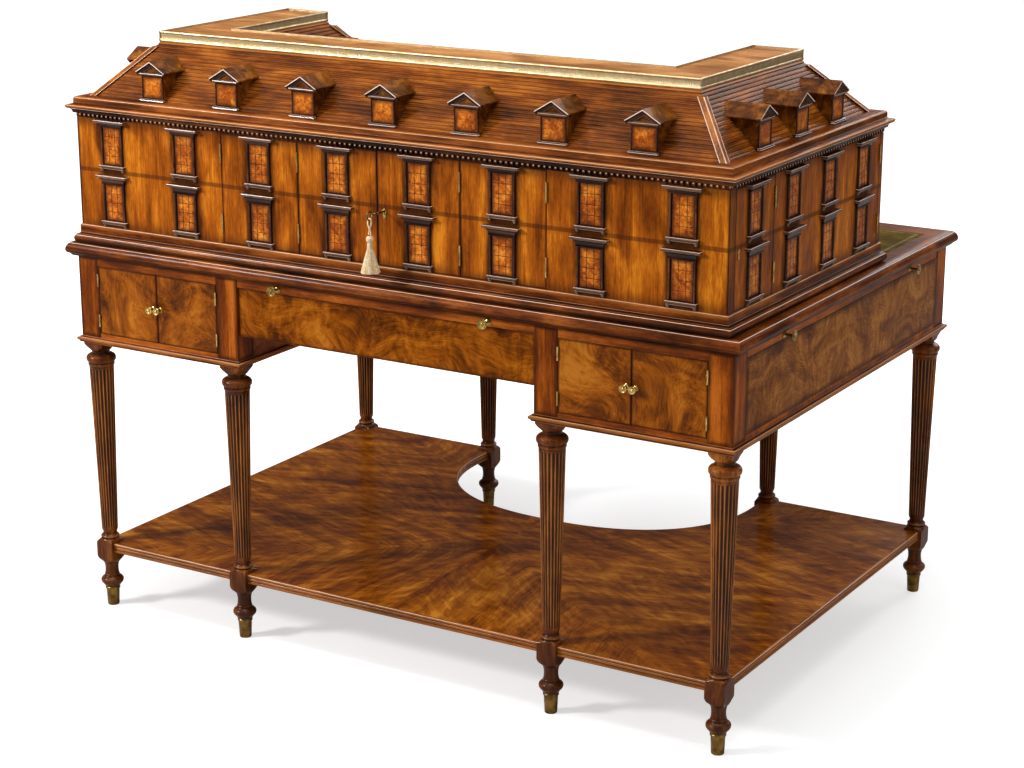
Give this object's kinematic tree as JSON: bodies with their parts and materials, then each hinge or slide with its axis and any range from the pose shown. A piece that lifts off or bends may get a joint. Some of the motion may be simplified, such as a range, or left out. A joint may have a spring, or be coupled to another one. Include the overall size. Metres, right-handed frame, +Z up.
{
  "type": "bureau mazarin",
  "caption": "Mahogany desk on fluted legs with an undershelf, carrying a U-shaped mansard-roofed cabinet with dormers, hinged doors, pull-out slides and a brass gallery.",
  "frame": {"origin": "on the floor, in the middle of the whole footprint, from the key's bow to the far nose of the top", "axes": "+Z up, +X to the right seen from the palace facade, +Y towards the sitter's side"},
  "size_m": [1.514, 1.0866, 1.204],
  "materials": {
    "mahogany": "french-polished mahogany, glossy",
    "flame_mahogany": "flame-figured mahogany veneer, french polished",
    "dark_moulding": "dark mahogany mouldings, glossy, rubbed at the edges",
    "brass": "polished, softly worn",
    "aged_brass": "aged",
    "bolt_steel": "bright",
    "writing_leather": "green leather with a gilt tooled line",
    "silk": "cream silk threads"
  },
  "bodies": {
    "desk": {"legs": "mahogany", "sabots": "aged_brass", "undershelf": "mahogany", "posts": "mahogany", "pedestal_cases": "mahogany", "frieze_panels": "flame_mahogany", "kneehole_frame": "mahogany", "base_mouldings": "dark_moulding", "desk_top": "dark_moulding", "writing_leather": "writing_leather", "cabinet_plinth": "dark_moulding", "cabinet_walls": "mahogany", "cabinet_partitions": "mahogany", "fixed_windows": "dark_moulding", "fixed_hinge_leaves": "brass", "cornice": "dark_moulding", "dentil_course": "dark_moulding", "mansard_roof": "dark_moulding", "hip_boards": "dark_moulding", "roof_deck": "mahogany", "gallery": "brass", "dormers": "dark_moulding"},
    "facade_right_outer": {"facade_right_outer_leaf": "flame_mahogany", "facade_right_outer_hinges": "brass"},
    "facade_right_inner": {"facade_right_inner_leaf": "flame_mahogany", "facade_right_inner_fittings": "brass"},
    "facade_left_outer": {"facade_left_outer_leaf": "flame_mahogany", "facade_left_outer_hinges": "brass"},
    "facade_left_inner": {"facade_left_inner_leaf": "flame_mahogany", "facade_left_inner_hinges": "brass"},
    "key": {"key": "brass"},
    "lock_bolt": {"lock_bolt": "bolt_steel"},
    "tassel": {"tassel": "silk", "tassel_cord": "silk"},
    "side_door_right": {"side_door_right": "flame_mahogany", "side_door_right_fittings": "brass"},
    "wing_door_right": {"wing_door_right": "flame_mahogany", "wing_door_right_fittings": "brass"},
    "pedestal_door_right_outer": {"pedestal_door_right_outer": "flame_mahogany", "pedestal_door_right_outer_fittings": "brass"},
    "pedestal_door_right_inner": {"pedestal_door_right_inner": "flame_mahogany", "pedestal_door_right_inner_fittings": "brass"},
    "side_door_left": {"side_door_left": "flame_mahogany", "side_door_left_fittings": "brass"},
    "wing_door_left": {"wing_door_left": "flame_mahogany", "wing_door_left_fittings": "brass"},
    "pedestal_door_left_outer": {"pedestal_door_left_outer": "flame_mahogany", "pedestal_door_left_outer_fittings": "brass"},
    "pedestal_door_left_inner": {"pedestal_door_left_inner": "flame_mahogany", "pedestal_door_left_inner_fittings": "brass"},
    "slide_centre": {"slide_centre": "mahogany", "slide_centre_knobs": "brass"},
    "slide_right": {"slide_right": "mahogany", "slide_right_knobs": "brass"},
    "slide_left": {"slide_left": "mahogany", "slide_left_knobs": "brass"},
    "drawer_right": {"drawer_right": "mahogany", "drawer_right_knobs": "brass"},
    "drawer_left": {"drawer_left": "mahogany", "drawer_left_knobs": "brass"}
  },
  "joints": [
    {"name": "facade_right_outer_hinge", "type": "hinge", "parent": "desk", "child": "facade_right_outer", "pos_m": [0.3606, -0.4778, 0.932], "axis": [0, 0, 1], "range_deg": [0, 110]},
    {"name": "facade_right_fold_hinge", "type": "hinge", "parent": "facade_right_outer", "child": "facade_right_inner", "pos_m": [0.18, -0.4778, 0.932], "axis": [0, 0, 1], "range_deg": [0, 90]},
    {"name": "side_door_right_hinge", "type": "hinge", "parent": "desk", "child": "side_door_right", "pos_m": [0.7198, -0.3001, 0.932], "axis": [0, 0, 1], "range_deg": [0, 105]},
    {"name": "wing_door_right_hinge", "type": "hinge", "parent": "desk", "child": "wing_door_right", "pos_m": [0.7198, 0.1713, 0.932], "axis": [0, 0, -1], "range_deg": [0, 105]},
    {"name": "pedestal_door_right_outer_hinge", "type": "hinge", "parent": "desk", "child": "pedestal_door_right_outer", "pos_m": [0.6836, -0.4778, 0.668], "axis": [0, 0, 1], "range_deg": [0, 105]},
    {"name": "pedestal_door_right_inner_hinge", "type": "hinge", "parent": "desk", "child": "pedestal_door_right_inner", "pos_m": [0.3854, -0.4778, 0.668], "axis": [0, 0, -1], "range_deg": [0, 105]},
    {"name": "slide_right_pull", "type": "slide", "parent": "desk", "child": "slide_right", "axis": [1, 0, 0], "range_m": [0, 0.25]},
    {"name": "drawer_right_pull", "type": "slide", "parent": "desk", "child": "drawer_right", "axis": [0, 1, 0], "range_m": [0, 0.34]},
    {"name": "facade_left_outer_hinge", "type": "hinge", "parent": "desk", "child": "facade_left_outer", "pos_m": [-0.3606, -0.4778, 0.932], "axis": [0, 0, -1], "range_deg": [0, 110]},
    {"name": "facade_left_fold_hinge", "type": "hinge", "parent": "facade_left_outer", "child": "facade_left_inner", "pos_m": [-0.18, -0.4778, 0.932], "axis": [0, 0, -1], "range_deg": [0, 90]},
    {"name": "side_door_left_hinge", "type": "hinge", "parent": "desk", "child": "side_door_left", "pos_m": [-0.7198, -0.3001, 0.932], "axis": [0, 0, -1], "range_deg": [0, 105]},
    {"name": "wing_door_left_hinge", "type": "hinge", "parent": "desk", "child": "wing_door_left", "pos_m": [-0.7198, 0.1713, 0.932], "axis": [0, 0, 1], "range_deg": [0, 105]},
    {"name": "pedestal_door_left_outer_hinge", "type": "hinge", "parent": "desk", "child": "pedestal_door_left_outer", "pos_m": [-0.6836, -0.4778, 0.668], "axis": [0, 0, -1], "range_deg": [0, 105]},
    {"name": "pedestal_door_left_inner_hinge", "type": "hinge", "parent": "desk", "child": "pedestal_door_left_inner", "pos_m": [-0.3854, -0.4778, 0.668], "axis": [0, 0, 1], "range_deg": [0, 105]},
    {"name": "slide_left_pull", "type": "slide", "parent": "desk", "child": "slide_left", "axis": [-1, 0, 0], "range_m": [0, 0.25]},
    {"name": "drawer_left_pull", "type": "slide", "parent": "desk", "child": "drawer_left", "axis": [0, 1, 0], "range_m": [0, 0.34]},
    {"name": "slide_centre_pull", "type": "slide", "parent": "desk", "child": "slide_centre", "axis": [0, -1, 0], "range_m": [0, 0.28]},
    {"name": "key_turn", "type": "hinge", "parent": "facade_right_inner", "child": "key", "pos_m": [0.0163, -0.499, 0.929], "axis": [0, 1, 0], "range_deg": [0, 90]},
    {"name": "lock_bolt_throw", "type": "slide", "parent": "facade_right_inner", "child": "lock_bolt", "axis": [-1, 0, 0], "range_m": [0, 0.006]},
    {"name": "tassel_hang", "type": "hinge", "parent": "key", "child": "tassel", "pos_m": [0.0163, -0.5258, 0.9202], "axis": [0, 1, 0], "range_deg": [-90, 0]}
  ],
  "couplings": [
    {"joint": "lock_bolt_throw", "follows": "key_turn", "m_per_rad": 0.0038197},
    {"joint": "tassel_hang", "follows": "key_turn", "ratio": -1}
  ]
}
